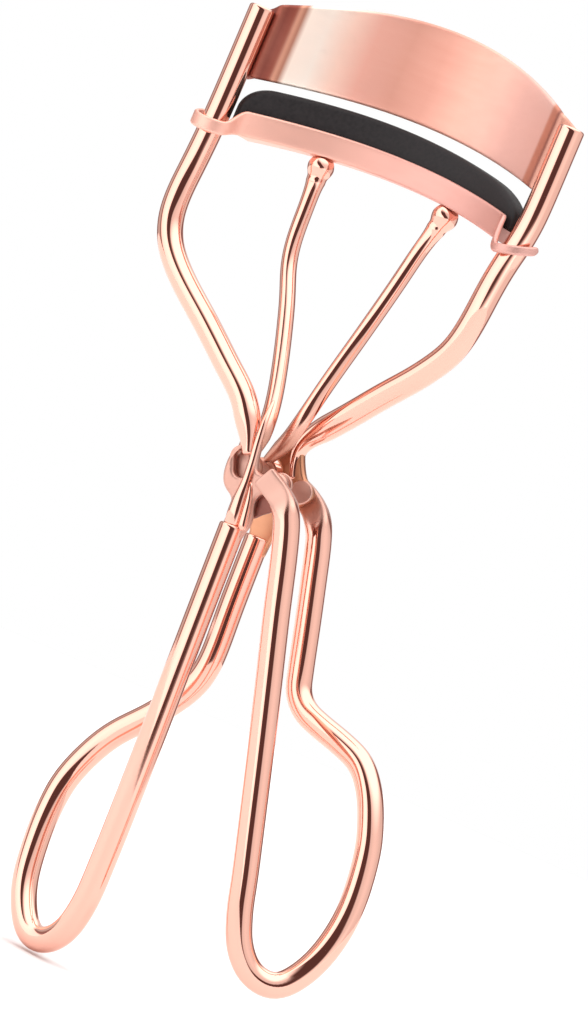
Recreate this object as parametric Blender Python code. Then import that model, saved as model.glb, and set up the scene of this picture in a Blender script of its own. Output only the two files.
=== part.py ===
"""Wire eyelash curler.

Row frame: metres, +Z up along the guide rods, -Y towards the front. The origin is on the main pivot's axis, at the
front face of the moving handle's flattened arm. Dimensions below are in millimetres from the pivot's axis and from
the middle plane, which lies MID_Y behind the origin.
"""

import math

import bmesh
import bpy
import numpy as np
from mathutils import Matrix, Vector

MM = 0.001
MID_Y = 6.0
WELD = 1e-6

# Wire and sheet sizes
WIRE_R = 1.35
BLADE_T = 1.2
ROD_R = 0.85
BALL_R = 1.35
SHEET_T = 0.8

# Head: guide rods, plan arc of the plate and bar
HEAD_X = -5.6
GUIDE_HALF = 18.2
GUIDE_TOP = 44.5
ARC_CENTRE_Y = -19.2
PLATE_R = 25.5
PLATE_BOTTOM = 36.8
PLATE_BOW = 2.8
PLATE_TOP = 44.6
PLATE_TOP_BOW = 5.3
CURL_IN = 1.42
CURL_OUT = 2.2

# Lower bar and pad
BAR_IN = 24.4
BAR_OUT = 27.8
BAR_WALL = 0.5
BAR_BOTTOM = 30.45
BAR_TOP = 33.4
BOTTOM_BOW = 2.6
BAR_BOW = 2.9
BAR_HALF = 15.6
GROOVE_DEPTH = 1.6
HOOK_IN = 2.25
HOOK_OUT = 2.75
HOOK_TALL = 1.5
HOOK_Z = 31.35
HOOK_TILT = 14.0
HOOK_SHIFT = {-1: -0.15, 1: -0.35}
PAD_GAP = 0.07
PAD_TALL = 2.4
PAD_HALF = 16.2
PAD_END = 1.8
BALL_OUT = 7.4
BALL_Y = 5.3
BALL_Z = 31.7
SOCKET_R = 1.5
SOCKET_RUN = 0.32

# Pivot
FRAME_Y = 3.9
HANDLE_Y = 5.4
LINK_LEVER = 4.464
LINK_RISE_DEG = 4.5
PIVOT_R = 0.8
EAR_R = 1.4
LINK_R = 0.65
RUN = 0.08
EYE_Y = 2.1
EYE_T = 1.0
EYE_R = 1.5
HEAD_R = 1.6
WINDOW = (-4.4, 0.45)
WINDOW_R = 0.75
WINDOW_RUN = 0.65
WINDOW_TILT_DEG = 22.6

LINK = (-LINK_LEVER * math.cos(math.radians(LINK_RISE_DEG)), LINK_LEVER * math.sin(math.radians(LINK_RISE_DEG)))

ROSE = (0.93, 0.62, 0.53, 1.0)
BLACK = (0.03, 0.03, 0.033, 1.0)


def place(x, y, z):
    """A point in millimetres from the pivot's axis and middle plane, as metres in the row frame."""
    return Vector((x, y + MID_Y, z)) * MM


def start():
    for obj in list(bpy.data.objects):
        bpy.data.objects.remove(obj, do_unlink=True)
    home = bpy.data.collections.new("eyelash_curler")
    bpy.context.scene.collection.children.link(home)
    return home


def material(name, colour, metallic, roughness):
    mat = bpy.data.materials.new(name)
    mat.use_nodes = True
    shader = mat.node_tree.nodes["Principled BSDF"]
    shader.inputs["Base Color"].default_value = colour
    shader.inputs["Metallic"].default_value = metallic
    shader.inputs["Roughness"].default_value = roughness
    mat.diffuse_color = colour
    return mat


def weld(mesh):
    bm = bmesh.new()
    bm.from_mesh(mesh)
    bmesh.ops.remove_doubles(bm, verts=bm.verts, dist=WELD)
    bmesh.ops.recalc_face_normals(bm, faces=bm.faces)
    bm.to_mesh(mesh)
    bm.free()
    return mesh


def evaluated_mesh(obj):
    """The object's mesh with its modifiers or bevel applied, welded. The object is removed."""
    graph = bpy.context.evaluated_depsgraph_get()
    mesh = bpy.data.meshes.new_from_object(obj.evaluated_get(graph))
    mesh.transform(obj.matrix_world)
    bpy.data.objects.remove(obj, do_unlink=True)
    return weld(mesh)


def scratch(data):
    obj = bpy.data.objects.new("scratch", data)
    bpy.context.scene.collection.objects.link(obj)
    bpy.context.view_layer.update()
    return obj


def combine(first, second, how):
    """One EXACT boolean of two meshes."""
    body = scratch(first)
    tool = scratch(second)
    cut = body.modifiers.new("cut", "BOOLEAN")
    cut.operation = how
    cut.solver = "EXACT"
    cut.object = tool
    bpy.context.view_layer.update()
    mesh = evaluated_mesh(body)
    bpy.data.objects.remove(tool, do_unlink=True)
    return mesh


def union(first, *others):
    for other in others:
        first = combine(first, other, "UNION")
    return first


def cut(first, *others):
    for other in others:
        first = combine(first, other, "DIFFERENCE")
    return first


def keep(first, other):
    return combine(first, other, "INTERSECT")


def spline(knots, steps=8, bend=2.0):
    """A centripetal Catmull-Rom line through the knots, with points kept only where it turns."""
    pts = np.array(knots, float)
    pts = np.vstack([2 * pts[0] - pts[1], pts, 2 * pts[-1] - pts[-2]])
    out = []
    for a, b, c, d in zip(pts, pts[1:], pts[2:], pts[3:]):
        t0 = 0.0
        t1 = t0 + np.linalg.norm(b - a) ** 0.5
        t2 = t1 + np.linalg.norm(c - b) ** 0.5
        t3 = t2 + np.linalg.norm(d - c) ** 0.5
        for t in np.linspace(t1, t2, steps, endpoint=False):
            ab = ((t1 - t) * a + (t - t0) * b) / (t1 - t0)
            bc = ((t2 - t) * b + (t - t1) * c) / (t2 - t1)
            cd = ((t3 - t) * c + (t - t2) * d) / (t3 - t2)
            left = ((t2 - t) * ab + (t - t0) * bc) / (t2 - t0)
            right = ((t3 - t) * bc + (t - t1) * cd) / (t3 - t1)
            out.append(((t2 - t) * left + (t - t1) * right) / (t2 - t1))
    out.append(pts[-2])
    kept = [out[0]]
    for here, after in zip(out[1:], out[2:]):
        one = here - kept[-1]
        two = after - here
        turn = one @ two / (np.linalg.norm(one) * np.linalg.norm(two))
        if math.degrees(math.acos(min(1.0, turn))) > bend or np.linalg.norm(one) > 6.0:
            kept.append(here)
    kept.append(out[-1])
    return kept


def tube(points, radius, thin_start=0.0, thin_end=0.0, thin=0.42, sides=3):
    """A round wire along the points. Its ends can thin down to a fraction of the radius over a stated length."""
    data = bpy.data.curves.new("wire", "CURVE")
    data.dimensions = "3D"
    data.bevel_depth = radius * MM
    data.bevel_resolution = sides
    data.use_fill_caps = True
    line = data.splines.new("POLY")
    line.points.add(len(points) - 1)
    run = np.concatenate([[0.0], np.cumsum([np.linalg.norm(b - a) for a, b in zip(points, points[1:])])])
    for spot, at, along in zip(line.points, points, run):
        spot.co = (*place(*at), 1.0)
        scale = 1.0
        if thin_start and along < thin_start:
            scale = thin + (1.0 - thin) * math.sin(0.5 * math.pi * along / thin_start)
        if thin_end and run[-1] - along < thin_end:
            scale = thin + (1.0 - thin) * math.sin(0.5 * math.pi * (run[-1] - along) / thin_end)
        spot.radius = scale
    return evaluated_mesh(scratch(data))


def outline_mesh(loops, thickness, turn):
    """Closed 2D outlines, the first filled and the others holes, extruded by the thickness and turned."""
    data = bpy.data.curves.new("outline", "CURVE")
    data.dimensions = "2D"
    data.fill_mode = "BOTH"
    data.extrude = 0.5 * thickness * MM
    for loop in loops:
        line = data.splines.new("POLY")
        line.points.add(len(loop) - 1)
        for spot, (u, v) in zip(line.points, loop):
            spot.co = (u * MM, v * MM, 0.0, 1.0)
        line.use_cyclic_u = True
    mesh = evaluated_mesh(scratch(data))
    mesh.transform(turn)
    return weld(mesh)


def blade(loops, y, thickness=BLADE_T):
    """A flat piece in the XZ plane with its middle at y."""
    turn = Matrix.Translation((0.0, (y + MID_Y) * MM, 0.0)) @ Matrix.Rotation(math.pi / 2, 4, "X")
    return outline_mesh(loops, thickness, turn)


def slab(loops, low, high):
    """A flat piece in the XY plane between two heights. Its outline is in millimetres about the head's centre."""
    turn = Matrix.Translation((HEAD_X * MM, MID_Y * MM, 0.5 * (low + high) * MM))
    return outline_mesh(loops, high - low, turn)


def circle(x, z, r, count=24):
    return [
        (x + r * math.cos(2 * math.pi * i / count), z + r * math.sin(2 * math.pi * i / count)) for i in range(count)
    ]


def round_bar(x, z, r, front, back, count=24):
    """A cylinder along Y."""
    bm = bmesh.new()
    bmesh.ops.create_cone(
        bm, cap_ends=True, segments=count, radius1=r * MM, radius2=r * MM, depth=(back - front) * MM
    )
    mesh = bpy.data.meshes.new("bar")
    bm.to_mesh(mesh)
    bm.free()
    mesh.transform(Matrix.Translation(place(x, 0.5 * (front + back), z)) @ Matrix.Rotation(math.pi / 2, 4, "X"))
    return weld(mesh)


def ball(x, y, z, r, wide=0.0, count=20):
    """A sphere, or a capsule stretched by wide each way along X."""
    bm = bmesh.new()
    bmesh.ops.create_uvsphere(bm, u_segments=count, v_segments=count // 2, radius=r * MM)
    for vert in bm.verts:
        if abs(vert.co.x) > 0.01 * MM:
            vert.co.x += math.copysign(wide * MM, vert.co.x)
    mesh = bpy.data.meshes.new("ball")
    bm.to_mesh(mesh)
    bm.free()
    mesh.transform(Matrix.Translation(place(x, y, z)))
    return weld(mesh)


def arc_band(inner, outer, half, steps=28):
    """Plan outline of a band about the head's centre of curvature, out to half each side."""
    reach_in = math.asin(half / inner)
    reach_out = math.asin(half / outer)
    near = [
        (inner * math.sin(a), ARC_CENTRE_Y + inner * math.cos(a)) for a in np.linspace(-reach_in, reach_in, steps)
    ]
    far = [
        (outer * math.sin(a), ARC_CENTRE_Y + outer * math.cos(a)) for a in np.linspace(reach_out, -reach_out, steps)
    ]
    return near + far


def ring_part(side, inner, outer, start_deg, end_deg, steps=16):
    """Plan outline of part of a ring about a guide rod. Angles run from the outer side towards the rear."""
    angles = np.radians(np.linspace(start_deg, end_deg, steps))
    far = [(side * (GUIDE_HALF + outer * math.cos(a)), outer * math.sin(a)) for a in angles]
    near = [(side * (GUIDE_HALF + inner * math.cos(a)), inner * math.sin(a)) for a in angles[::-1]]
    return far + near


def bowed(x, end, bow):
    return end + bow * (1.0 - (x / GUIDE_HALF) ** 2)


def elevation(low, low_bow, high, high_bow, half, steps=27):
    """Front outline between two bowed edges, and a solid of it that is deeper than the head."""
    xs = np.linspace(-half, half, steps)
    loop = [(HEAD_X + x, bowed(x, low, low_bow)) for x in xs]
    loop += [(HEAD_X + x, bowed(x, high, high_bow)) for x in xs[::-1]]
    return blade([loop], 4.0, 24.0)


def finish(name, mesh, mat, home, smooth=40.0):
    mesh.name = name
    mesh.materials.clear()
    mesh.materials.append(mat)
    obj = bpy.data.objects.new(name, mesh)
    home.objects.link(obj)
    bm = bmesh.new()
    bm.from_mesh(mesh)
    limit = math.radians(smooth)
    for edge in bm.edges:
        edge.smooth = len(edge.link_faces) == 2 and edge.calc_face_angle(0.0) < limit
    for face in bm.faces:
        face.smooth = True
    bm.to_mesh(mesh)
    bm.free()
    return obj


def window(steps=9):
    """The oval hole in front of the link pin's head."""
    tilt = math.radians(WINDOW_TILT_DEG)
    loop = []
    for end in (1.0, -1.0):
        cx = WINDOW[0] - end * WINDOW_RUN * math.sin(tilt)
        cz = WINDOW[1] + end * WINDOW_RUN * math.cos(tilt)
        first = tilt + (0.0 if end > 0 else math.pi)
        for a in np.linspace(first, first + math.pi, steps):
            loop.append((cx + WINDOW_R * math.cos(a), cz + WINDOW_R * math.sin(a)))
    return loop


def front_blade():
    left = [(-6.9, 5.6), (-6.1, 4.1), (-5.6, 2.9), (-5.45, 1.9), (-5.8, 1.3), (-6.0, 0.3), (-5.85, -1.1)]
    left += [(-5.5, -2.0), (-5.0, -2.55), (-4.1, -3.0), (-3.8, -3.7), (-3.6, -4.7), (-3.65, -5.6), (-3.7, -8.0)]
    right = [(-1.6, -8.0), (-1.6, -5.7), (-0.8, -5.4), (-0.9, -4.2), (-1.2, -2.9), (-1.3, -2.1)]
    ear = [(EAR_R * math.cos(a), EAR_R * math.sin(a)) for a in np.radians(np.linspace(-110, 120, 12))]
    top = [(-1.9, 1.1), (-2.7, 1.5), (-3.0, 2.4), (-3.3, 4.0), (-4.6, 6.0)]
    return blade([left + right + ear + top], -FRAME_Y)


def rear_blade():
    left = [(-4.0, 5.6), (-3.6, 4.0), (-2.9, 2.8), (-2.2, 1.8), (-1.75, 0.6), (-1.65, -0.4), (-1.75, -1.8)]
    left += [(-2.1, -3.2), (-3.3, -4.6), (-3.8, -5.7), (-3.6, -5.9), (-3.6, -8.0)]
    right = [(-1.7, -8.0), (-1.7, -5.9), (-1.3, -5.7), (-1.0, -4.0), (-0.6, -2.4)]
    ear = [(EAR_R * math.cos(a), EAR_R * math.sin(a)) for a in np.radians(np.linspace(-75, 95, 10))]
    top = [(-1.1, 2.2), (-1.75, 3.4), (-2.3, 5.2)]
    return blade([left + right + ear + top], FRAME_Y)


def frame_wire():
    left_x = HEAD_X - GUIDE_HALF
    right_x = HEAD_X + GUIDE_HALF
    left = [(left_x, 0, GUIDE_TOP), (left_x, 0, 34.0), (left_x - 0.1, 0, 30.0), (-24.1, 0, 26.5)]
    left += [(-24.2, -0.2, 23.5), (-23.9, -0.4, 20.9), (-22.75, -0.8, 18.5), (-21.1, -1.2, 16.7)]
    left += [(-19.0, -1.6, 15.0), (-14.6, -2.4, 12.0), (-10.6, -3.1, 9.1), (-7.3, -3.7, 6.7)]
    left += [(-5.7, -FRAME_Y, 4.6), (-4.9, -FRAME_Y, 2.9)]
    right = [(right_x, 0, GUIDE_TOP), (right_x, 0, 35.0), (right_x - 0.1, 0, 33.5), (12.2, 0, 31.5)]
    right += [(11.85, 0, 30.0), (11.6, 0, 28.7), (11.4, 0, 27.3), (11.25, 0, 26.0), (11.05, 0.1, 24.0)]
    right += [(10.8, 0.3, 22.3), (10.4, 0.5, 20.4), (9.7, 0.8, 18.7), (7.5, 1.5, 15.7), (4.2, 2.5, 12.2)]
    right += [(1.2, 3.4, 8.85), (-0.6, 3.8, 6.9), (-1.9, FRAME_Y, 5.4), (-2.4, FRAME_Y, 4.2), (-2.1, FRAME_Y, 2.5)]
    loop = [(-2.75, -FRAME_Y, -5.6), (-2.5, -FRAME_Y, -12), (-2.1, -FRAME_Y, -21.7), (-1.75, -FRAME_Y, -30)]
    loop += [(-1.4, -FRAME_Y, -42), (-1.5, -3.8, -46.9), (-2.5, -3.4, -50.4), (-4.6, -2.6, -52.25)]
    loop += [(-6.3, -2.1, -52.2), (-7.6, -1.6, -51.2), (-9.7, -0.5, -48), (-10.85, 0.6, -43.2)]
    loop += [(-11.15, 1.2, -40), (-10.95, 1.9, -36.4), (-8.8, 2.8, -31), (-5.7, 3.4, -27.2)]
    loop += [(-3.7, 3.8, -24.3), (-2.6, 3.85, -22.2), (-2.2, FRAME_Y, -20.0), (-2.5, FRAME_Y, -13)]
    loop += [(-2.7, FRAME_Y, -5.8)]
    front = union(front_blade(), tube(spline(left), WIRE_R, thin_end=5.0))
    back = union(rear_blade(), tube(spline(right), WIRE_R, thin_end=5.0))
    wire = union(tube(spline(loop), WIRE_R), front, back)
    return cut(
        wire,
        round_bar(0.0, 0.0, PIVOT_R + 0.03, -7.0, -2.0),
        round_bar(0.0, 0.0, PIVOT_R + 0.03, 2.0, 7.0),
        blade([window()], -FRAME_Y, 4.0),
    )


def front_arm():
    outline = [(-2.15, -0.7), (-0.55, 1.35), (1.0, 0.75), (2.3, 0.2), (3.2, -0.9), (3.8, -2.4), (4.2, -3.9)]
    outline += [(2.3, -4.4), (1.7, -3.0), (0.9, -2.25), (0.0, -1.85)]
    return blade([outline], -HANDLE_Y)


def rear_arm():
    outline = [(-5.8, -0.1), (-5.5, 1.3), (-4.4, 1.9), (-2.6, 1.9), (-0.6, 1.35), (0.5, 1.2), (1.5, 0.35), (2.7, -0.7)]
    outline += [(3.5, -1.9), (3.9, -3.9), (2.2, -4.4), (1.5, -3.0), (0.9, -1.9), (0.0, -1.45), (-2.4, -1.1)]
    outline += [(-4.6, -1.0)]
    return blade([outline], HANDLE_Y)


def handle_wire():
    loop = [(2.6, -HANDLE_Y, -2.2), (3.15, -HANDLE_Y, -3.5), (4.2, -HANDLE_Y, -6.3), (6.0, -HANDLE_Y, -12.2)]
    loop += [(7.95, -HANDLE_Y, -18.3), (9.85, -HANDLE_Y, -24.3), (12.1, -HANDLE_Y, -31.6)]
    loop += [(13.75, -HANDLE_Y, -37), (14.85, -5.3, -40.9), (16.1, -4.8, -43.9), (17.95, -3.8, -45.85)]
    loop += [(20.25, -2.6, -46.1), (22.25, -1.0, -43.3), (23.3, 0.5, -37.8), (22.3, 1.8, -30.8)]
    loop += [(21.0, 2.4, -27.5), (19.35, 3.0, -24.8), (17.2, 3.6, -22.75), (14.15, 4.1, -21.7)]
    loop += [(11.55, 4.5, -21.1), (9.05, 4.9, -20.3), (7.5, 5.2, -18.85), (6.8, HANDLE_Y, -17.0)]
    loop += [(5.3, HANDLE_Y, -11.7), (4.1, HANDLE_Y, -7.6), (3.05, HANDLE_Y, -4.0), (2.4, HANDLE_Y, -2.2)]
    wire = tube(spline(loop), WIRE_R, thin_start=3.5, thin_end=3.5)
    wire = union(wire, front_arm(), rear_arm())
    return cut(
        wire,
        round_bar(0.0, 0.0, PIVOT_R + RUN, -8.0, -3.0),
        round_bar(0.0, 0.0, PIVOT_R + RUN, 3.0, 8.0),
        round_bar(*LINK, LINK_R + 0.03, 3.0, 8.0),
    )


def upper_plate():
    sheet = slab([arc_band(PLATE_R, PLATE_R + SHEET_T, 16.75)], 30.0, 55.0)
    for side in (-1, 1):
        sheet = union(sheet, slab([ring_part(side, CURL_IN, CURL_OUT, 60.0, 168.0)], 30.0, 55.0))
    return keep(sheet, elevation(PLATE_BOTTOM, PLATE_BOW, PLATE_TOP, PLATE_TOP_BOW, 21.0))


def hook(side):
    """A tilted open ring with play round a side wire, higher at the rear."""
    end = 8.0 if side < 0 else -25.0
    ring = slab([ring_part(side, HOOK_IN, HOOK_OUT, -235.0, end, 22)], -0.5 * HOOK_TALL, 0.5 * HOOK_TALL)
    centre = place(HEAD_X + side * GUIDE_HALF, 0.0, 0.0)
    turn = Matrix.Translation(centre) @ Matrix.Rotation(math.radians(HOOK_TILT), 4, "X")
    ring.transform(Matrix.Translation((HOOK_SHIFT[side] * MM, 0.0, HOOK_Z * MM)) @ turn @ Matrix.Translation(-centre))
    return weld(ring)


def strip(side):
    """The end of the bar's front wall, narrowing into the hook."""
    wall = slab([arc_band(BAR_IN, BAR_IN + 0.55, 17.2)], 25.0, 40.0)
    loop = [(15.0, 30.95), (15.9, 30.75), (17.3, 30.35), (17.3, 31.75), (16.2, 32.5), (15.4, 33.6), (15.0, 34.1)]
    loop = [(HEAD_X + side * x, z) for x, z in loop]
    clear = slab([circle(side * GUIDE_HALF + HOOK_SHIFT[side], 0.0, HOOK_IN, 32)], 24.0, 41.0)
    return cut(keep(wall, blade([loop], 0.0, 20.0)), clear)


def lower_bar():
    bar = keep(
        slab([arc_band(BAR_IN, BAR_OUT, BAR_HALF)], 25.0, 42.0),
        elevation(BAR_BOTTOM, BOTTOM_BOW, BAR_TOP, BAR_BOW, 19.0),
    )
    groove = keep(
        slab([arc_band(BAR_IN + BAR_WALL, BAR_OUT - BAR_WALL, 19.0)], 25.0, 42.0),
        elevation(BAR_TOP - GROOVE_DEPTH, BAR_BOW, 40.0, 0.0, 19.0),
    )
    bar = cut(bar, groove)
    for side in (-1, 1):
        bar = union(bar, strip(side), hook(side))
        bar = cut(bar, ball(HEAD_X + side * BALL_OUT, BALL_Y, BALL_Z, SOCKET_R, SOCKET_RUN))
    return bar


def pad():
    """A crowned strip swept along the groove. Its foot stands in the groove and its ends are rounded off."""
    shape = bpy.data.curves.new("pad_section", "CURVE")
    shape.dimensions = "2D"
    line = shape.splines.new("POLY")
    side = 0.5 * (BAR_OUT - BAR_IN) - BAR_WALL - PAD_GAP
    foot = 0.3 - GROOVE_DEPTH
    tall = PAD_TALL
    ring = [(-side, foot), (side, foot), (side, tall - 0.45), (side - 0.2, tall - 0.15), (side - 0.6, tall - 0.02)]
    ring += [(0.0, tall), (-side + 0.6, tall - 0.02), (-side + 0.2, tall - 0.15), (-side, tall - 0.45)]
    line.points.add(len(ring) - 1)
    for spot, (u, v) in zip(line.points, ring):
        spot.co = (u * MM, v * MM, 0.0, 1.0)
    line.use_cyclic_u = True
    section = scratch(shape)
    data = bpy.data.curves.new("pad_path", "CURVE")
    data.dimensions = "3D"
    data.twist_mode = "Z_UP"
    data.bevel_mode = "OBJECT"
    data.bevel_object = section
    data.use_fill_caps = True
    middle = 0.5 * (BAR_IN + BAR_OUT)
    reach = math.asin(PAD_HALF / middle)
    angles = reach * np.sin(np.linspace(-0.5 * math.pi, 0.5 * math.pi, 45))
    path = data.splines.new("POLY")
    path.points.add(len(angles) - 1)
    for spot, a in zip(path.points, angles):
        x = middle * math.sin(a)
        spot.co = (*place(HEAD_X + x, ARC_CENTRE_Y + middle * math.cos(a), bowed(x, BAR_TOP, BAR_BOW)), 1.0)
        left = max(0.0, 1.0 - max(0.0, abs(x) - (PAD_HALF - PAD_END)) / PAD_END)
        spot.radius = 0.3 + 0.7 * math.sqrt(1.0 - (1.0 - left) ** 2)
    mesh = evaluated_mesh(scratch(data))
    bpy.data.objects.remove(section, do_unlink=True)
    return mesh


def push_rod(side):
    x = HEAD_X + side * BALL_OUT
    if side < 0:
        knots = [(x, BALL_Y, BALL_Z), (x + 0.3, 5.1, 27.5), (x + 0.65, 4.8, 23.6), (x + 1.3, 4.4, 21.2)]
        knots += [(-9.6, 3.1, 17.2), (-6.9, 1.2, 11.2), (-5.3, -0.3, 7.1), (-4.4, -1.6, 4.2)]
    else:
        knots = [(x, BALL_Y, BALL_Z), (x - 1.0, 5.0, 27.4), (x - 1.7, 4.6, 23.2), (-0.9, 3.9, 17.5)]
        knots += [(-1.7, 2.6, 11.6), (-2.2, 1.4, 6.8), (-2.9, 1.5, 4.2)]
    knots += [(LINK[0], side * EYE_Y, LINK[1] + 1.2)]
    rod = tube(spline(knots), ROD_R, thin_end=2.2, thin=0.55, sides=2)
    rod = union(
        rod,
        ball(x, BALL_Y, BALL_Z, BALL_R),
        round_bar(*LINK, EYE_R, side * EYE_Y - 0.5 * EYE_T, side * EYE_Y + 0.5 * EYE_T),
    )
    return cut(rod, round_bar(*LINK, LINK_R + RUN, side * EYE_Y - 2.0, side * EYE_Y + 2.0))


def turned(x, z, profile, count=24):
    """A solid of revolution along Y. The profile lists radius and Y from the front end to the rear end."""
    bm = bmesh.new()
    rings = []
    for radius, y in profile:
        if radius == 0.0:
            rings.append([bm.verts.new(place(x, y, z))])
            continue
        ring = circle(x, z, radius, count)
        rings.append([bm.verts.new(place(u, y, w)) for u, w in ring])
    for one, two in zip(rings, rings[1:]):
        for i in range(count):
            j = (i + 1) % count
            corners = [one[i % len(one)], one[j % len(one)], two[j % len(two)], two[i % len(two)]]
            bm.faces.new(list(dict.fromkeys(corners)))
    mesh = bpy.data.meshes.new("turned")
    bmesh.ops.recalc_face_normals(bm, faces=bm.faces)
    bm.to_mesh(mesh)
    bm.free()
    return mesh


def pivot_rivet(side):
    """Flush at the arm's outer face, with a peened head inside the frame's eye."""
    outer = side * (HANDLE_Y + 0.5 * BLADE_T)
    inner = side * (FRAME_Y - 0.5 * BLADE_T)
    profile = [(0.0, outer), (PIVOT_R, outer), (PIVOT_R, inner - side * 0.05), (1.25, inner - side * 0.05)]
    profile += [(1.25, inner - side * 0.25), (0.8, inner - side * 0.45), (0.0, inner - side * 0.5)]
    return turned(0.0, 0.0, profile)


def link_pin():
    """Crosses from the rear arm through both push rod eyes to a flat head just behind the front blade."""
    face = -FRAME_Y + 0.5 * BLADE_T + 0.1
    seat = -EYE_Y - 0.5 * EYE_T - 0.08
    back = HANDLE_Y + 0.5 * BLADE_T
    profile = [(0.0, face), (HEAD_R - 0.1, face), (HEAD_R, face + 0.1), (HEAD_R, seat), (LINK_R, seat)]
    profile += [(LINK_R, back + 0.05), (1.1, back + 0.05), (1.1, back + 0.2), (0.7, back + 0.42), (0.0, back + 0.5)]
    return turned(*LINK, profile)


def link_spacer():
    half = EYE_Y - 0.5 * EYE_T - 0.1
    sleeve = round_bar(*LINK, 1.1, -half, half)
    return cut(sleeve, round_bar(*LINK, LINK_R + RUN, -half - 1.0, half + 1.0))


def build():
    home = start()
    rose = material("rose_gold_plate", ROSE, 1.0, 0.12)
    rose_sheet = material("rose_gold_sheet", ROSE, 1.0, 0.2)
    silicone = material("black_silicone", BLACK, 0.0, 0.75)
    finish("frame_wire", frame_wire(), rose, home)
    finish("upper_plate", upper_plate(), rose_sheet, home)
    finish("lower_bar", lower_bar(), rose_sheet, home)
    finish("pad", pad(), silicone, home)
    finish("handle_wire", handle_wire(), rose, home)
    finish("push_rod_left", push_rod(-1), rose, home)
    finish("push_rod_right", push_rod(1), rose, home)
    finish("pivot_rivet_front", pivot_rivet(-1), rose, home)
    finish("pivot_rivet_rear", pivot_rivet(1), rose, home)
    finish("link_pin", link_pin(), rose, home)
    finish("link_spacer", link_spacer(), rose, home)


build()
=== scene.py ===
"""Looks of the wire eyelash curler: smooth wires, bent sheet, pad, polished rose-gold plating and studio.

Lengths are in millimetres from the pivot's axis and the tool's middle plane, as in the part. place() turns
them into the row frame. A piece stands for the CAD node that it is named after. The front blade, the rear
blade and the web behind the front blade, a dark sheet of painted shade, stand for the frame wire, together
with the wires.
"""

import math
from collections import namedtuple

import bmesh
import bpy
import numpy as np
from mathutils import Matrix, Vector


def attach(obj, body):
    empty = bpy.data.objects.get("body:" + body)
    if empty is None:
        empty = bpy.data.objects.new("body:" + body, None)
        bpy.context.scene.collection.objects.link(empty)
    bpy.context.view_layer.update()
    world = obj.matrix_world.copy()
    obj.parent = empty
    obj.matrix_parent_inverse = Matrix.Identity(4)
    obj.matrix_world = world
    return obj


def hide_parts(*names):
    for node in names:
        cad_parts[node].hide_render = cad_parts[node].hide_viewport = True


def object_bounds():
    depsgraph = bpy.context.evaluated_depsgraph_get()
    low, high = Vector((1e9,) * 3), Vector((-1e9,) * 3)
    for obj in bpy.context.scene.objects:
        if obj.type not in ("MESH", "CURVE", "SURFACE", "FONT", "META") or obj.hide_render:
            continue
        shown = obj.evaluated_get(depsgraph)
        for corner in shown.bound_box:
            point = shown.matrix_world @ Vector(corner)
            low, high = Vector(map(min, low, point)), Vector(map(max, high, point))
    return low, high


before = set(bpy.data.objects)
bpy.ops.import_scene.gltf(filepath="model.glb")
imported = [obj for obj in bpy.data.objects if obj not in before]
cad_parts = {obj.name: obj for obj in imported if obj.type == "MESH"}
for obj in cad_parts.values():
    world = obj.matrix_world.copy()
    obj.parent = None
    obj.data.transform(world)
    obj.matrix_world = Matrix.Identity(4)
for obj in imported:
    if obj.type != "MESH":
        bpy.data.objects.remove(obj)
cad_low, cad_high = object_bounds()

MM = 0.001
MID_Y = 6.0

# Mesh steps along wires and outlines, sides of turned pieces, and the angle from which an edge stays sharp
SPACING = 0.45
OUTLINE_STEP = 0.12
OUTLINE_BLUR = 0.35
TURNED_SIDES = 40
SHARP_ANGLE = math.radians(35.0)

# Wires. An end is pressed to a share of the width and of the depth, up to where it starts to ease back to
# round over its reach. Its section's power is 2 for round and more for squarish.
Pressing = namedtuple("Pressing", "width depth start reach square")
WIRE_R = 1.37
LEFT_END = Pressing(0.5, 0.55, 0.0, 4.2, 2.0)
RIGHT_END = Pressing(0.5, 0.5, 1.2, 6.2, 2.0)
FRONT_ARM = Pressing(0.92, 0.42, 1.9, 3.4, 5.5)
REAR_ARM = Pressing(0.98, 0.45, 6.2, 4.0, 5.5)
FLUTE_DEPTH = 0.75

# Push rods: shank, ball, and the eye on the link pin
ROD_R = 0.86
ROD_END = 3.2
BALL_R = 1.38
BALL_OUT = 7.4
BALL_Y = 5.3
BALL_Z = 31.7
SOCKET_R = 1.5
SOCKET_PLAY = 0.32
EYE_Y = 2.1
EYE_T = 1.0
EYE_R = 1.5

# Pivot, rivets, link pin and spacer
LINK = (-4.45, 0.35)
FRAME_Y = 3.9
HANDLE_Y = 5.4
BLADE_T = 1.2
BLADE_RIM = 0.42
RIVET_R = 0.8
RIVET_SUNK = 0.15
FLANGE_R = 1.25
PIN_R = 0.65
PIN_BORE = 0.73
PIN_HEAD_R = 1.6
BUTTON_R = 1.1
SPACER_R = 1.1
GAP = 0.1

# Head: guides, plate, bar and pad
HEAD_X = -5.6
GUIDE_HALF = 18.2
GUIDE_TOP = 44.5
ARC_CENTRE_Y = -19.2
PLATE_R = 25.9
PLATE_T = 0.8
CURL_R = 1.81
PLATE_BOTTOM = 36.8
PLATE_BOW = 2.8
PLATE_TOP = 44.6
PLATE_TOP_BOW = 5.3
BAR_IN = 24.4
BAR_OUT = 27.8
BAR_WALL = 0.5
BAR_BOTTOM = 30.45
BOTTOM_BOW = 2.6
BAR_TOP = 33.4
BAR_BOW = 2.9
CHANNEL_HALF = 15.3
GROOVE_DEPTH = 1.6
STRIP_T = 0.5
FRONT_TOP = 33.2
FRONT_BOW = 2.45
HOOK_R = 2.3
HOOK_Z = {-1: 31.6, 1: 31.2}
HOOK_TALL = {-1: 1.5, 1: 1.0}
HOOK_LIFT = {-1: 0.0, 1: 0.22}
HOOK_TILT = 14.0
HOOK_CENTRE = {-1: -17.98, 1: 17.65}
HOOK_END = {-1: 30.0, 1: -6.0}
HOOK_FROM = 15.2
HOOK_EASE = 2.4
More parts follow.
